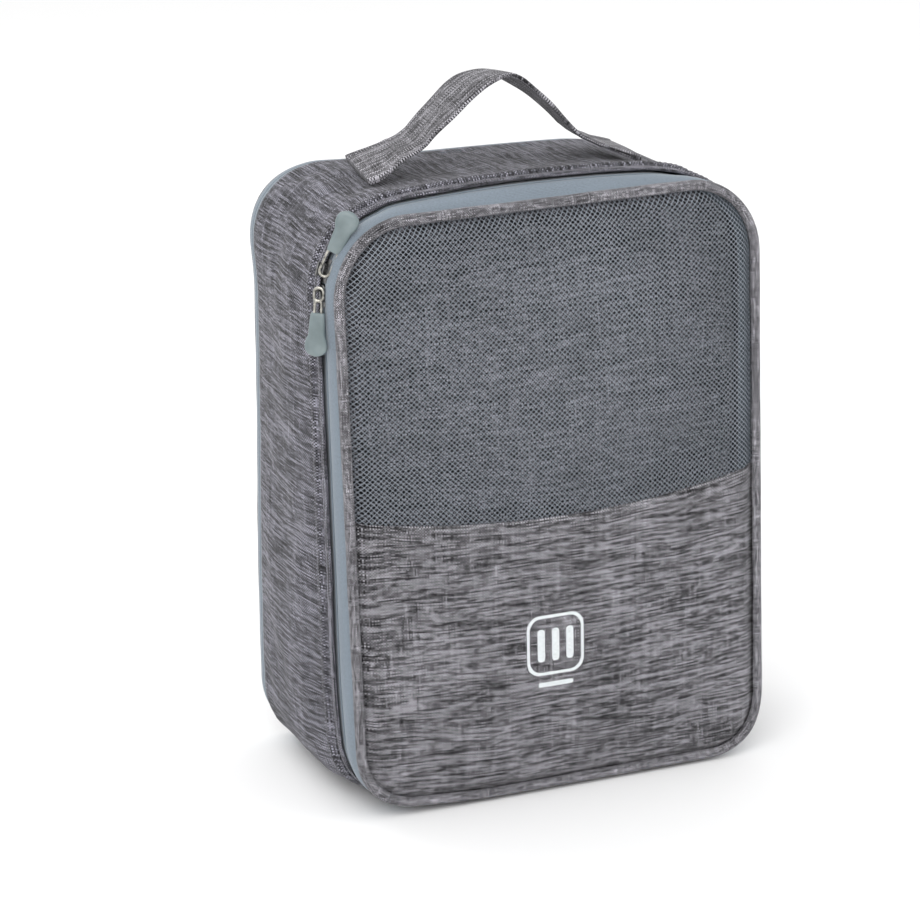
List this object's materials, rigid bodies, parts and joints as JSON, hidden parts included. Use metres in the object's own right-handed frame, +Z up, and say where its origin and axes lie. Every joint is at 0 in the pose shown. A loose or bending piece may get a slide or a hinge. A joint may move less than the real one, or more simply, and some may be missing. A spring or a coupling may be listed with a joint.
{
  "type": "shoe organizer",
  "caption": "Upright soft travel bag for shoes: fabric case with zipped front and rear flaps, a mesh window, a divider and a top carry strap.",
  "frame": {"origin": "centre of the flat base, on the surface the bag stands on", "axes": "+Z up, -Y towards the front panel with the mesh window, X along the width"},
  "size_m": [0.2378, 0.13, 0.3505],
  "materials": {
    "heather_fabric": "coarse heathered plain weave",
    "lining_fabric": "plain woven lining",
    "zip_tape": "fine smooth nylon tape",
    "mesh_fabric": "open diamond knit mesh",
    "zip_coil": "nylon coil",
    "nickel_metal": "nickel plated",
    "pull_rubber": "smooth soft rubber",
    "print_ink": "white screen print"
  },
  "bodies": {
    "case": {"side_gusset": "heather_fabric", "base_panel": "heather_fabric", "divider_panel": "lining_fabric", "divider_binding": "lining_fabric", "front_placket": "heather_fabric", "front_tape_case": "zip_tape", "front_coil_case": "zip_coil", "rear_tape_case": "zip_tape", "rear_coil_case": "zip_coil", "zip_end_stops": "nickel_metal", "strap_end_left": "heather_fabric", "strap_end_right": "heather_fabric"},
    "front_flap": {"front_lower_panel": "heather_fabric", "front_mesh_window": "mesh_fabric", "front_binding": "heather_fabric", "front_tape_flap": "zip_tape", "front_coil_flap": "zip_coil", "printed_mark": "print_ink"},
    "rear_flap": {"rear_panel": "heather_fabric", "rear_binding": "heather_fabric", "rear_tape_flap": "zip_tape", "rear_coil_flap": "zip_coil"},
    "handle": {"carry_strap": "heather_fabric"},
    "lower_zip_slider": {"lower_slider": "nickel_metal"},
    "upper_zip_slider": {"upper_slider": "nickel_metal"},
    "rear_zip_slider": {"rear_slider": "nickel_metal"},
    "lower_zip_pull": {"lower_pull_loop": "nickel_metal", "lower_pull_grip": "pull_rubber"},
    "upper_zip_pull": {"upper_pull_loop": "nickel_metal", "upper_pull_grip": "pull_rubber"},
    "rear_zip_pull": {"rear_pull_loop": "nickel_metal", "rear_pull_grip": "pull_rubber"}
  },
  "joints": [
    {"name": "front_flap_swing", "type": "hinge", "parent": "case", "child": "front_flap", "pos_m": [0, -0.062, 0.003], "axis": [1, 0, 0], "range_deg": [0, 85]},
    {"name": "rear_flap_swing", "type": "hinge", "parent": "case", "child": "rear_flap", "pos_m": [0, 0.062, 0.003], "axis": [-1, 0, 0], "range_deg": [0, 85]},
    {"name": "handle_tip", "type": "hinge", "parent": "case", "child": "handle", "pos_m": [0, 0.005, 0.318], "axis": [1, 0, 0], "range_deg": [-60, 60]},
    {"name": "lower_slider_travel", "type": "slide", "parent": "case", "child": "lower_zip_slider", "axis": [0, 0, -1], "range_m": [0, 0.2]},
    {"name": "upper_slider_turn", "type": "hinge", "parent": "case", "child": "upper_zip_slider", "pos_m": [-0.075, -0.048, 0.26], "axis": [0, 1, 0], "range_deg": [0, 64]},
    {"name": "rear_slider_travel", "type": "slide", "parent": "case", "child": "rear_zip_slider", "axis": [0, 0, 1], "range_m": [0, 0.2]},
    {"name": "lower_pull_swing", "type": "hinge", "parent": "lower_zip_slider", "child": "lower_zip_pull", "pos_m": [-0.1159, -0.048, 0.26], "axis": [0, 1, 0], "range_deg": [0, 90]},
    {"name": "upper_pull_swing", "type": "hinge", "parent": "upper_zip_slider", "child": "upper_zip_pull", "pos_m": [-0.11394, -0.048, 0.2725], "axis": [0, -1, 0], "range_deg": [0, 110]},
    {"name": "rear_pull_swing", "type": "hinge", "parent": "rear_zip_slider", "child": "rear_zip_pull", "pos_m": [0.1173, 0.055, 0.048], "axis": [0, -1, 0], "range_deg": [0, 160]}
  ]
}
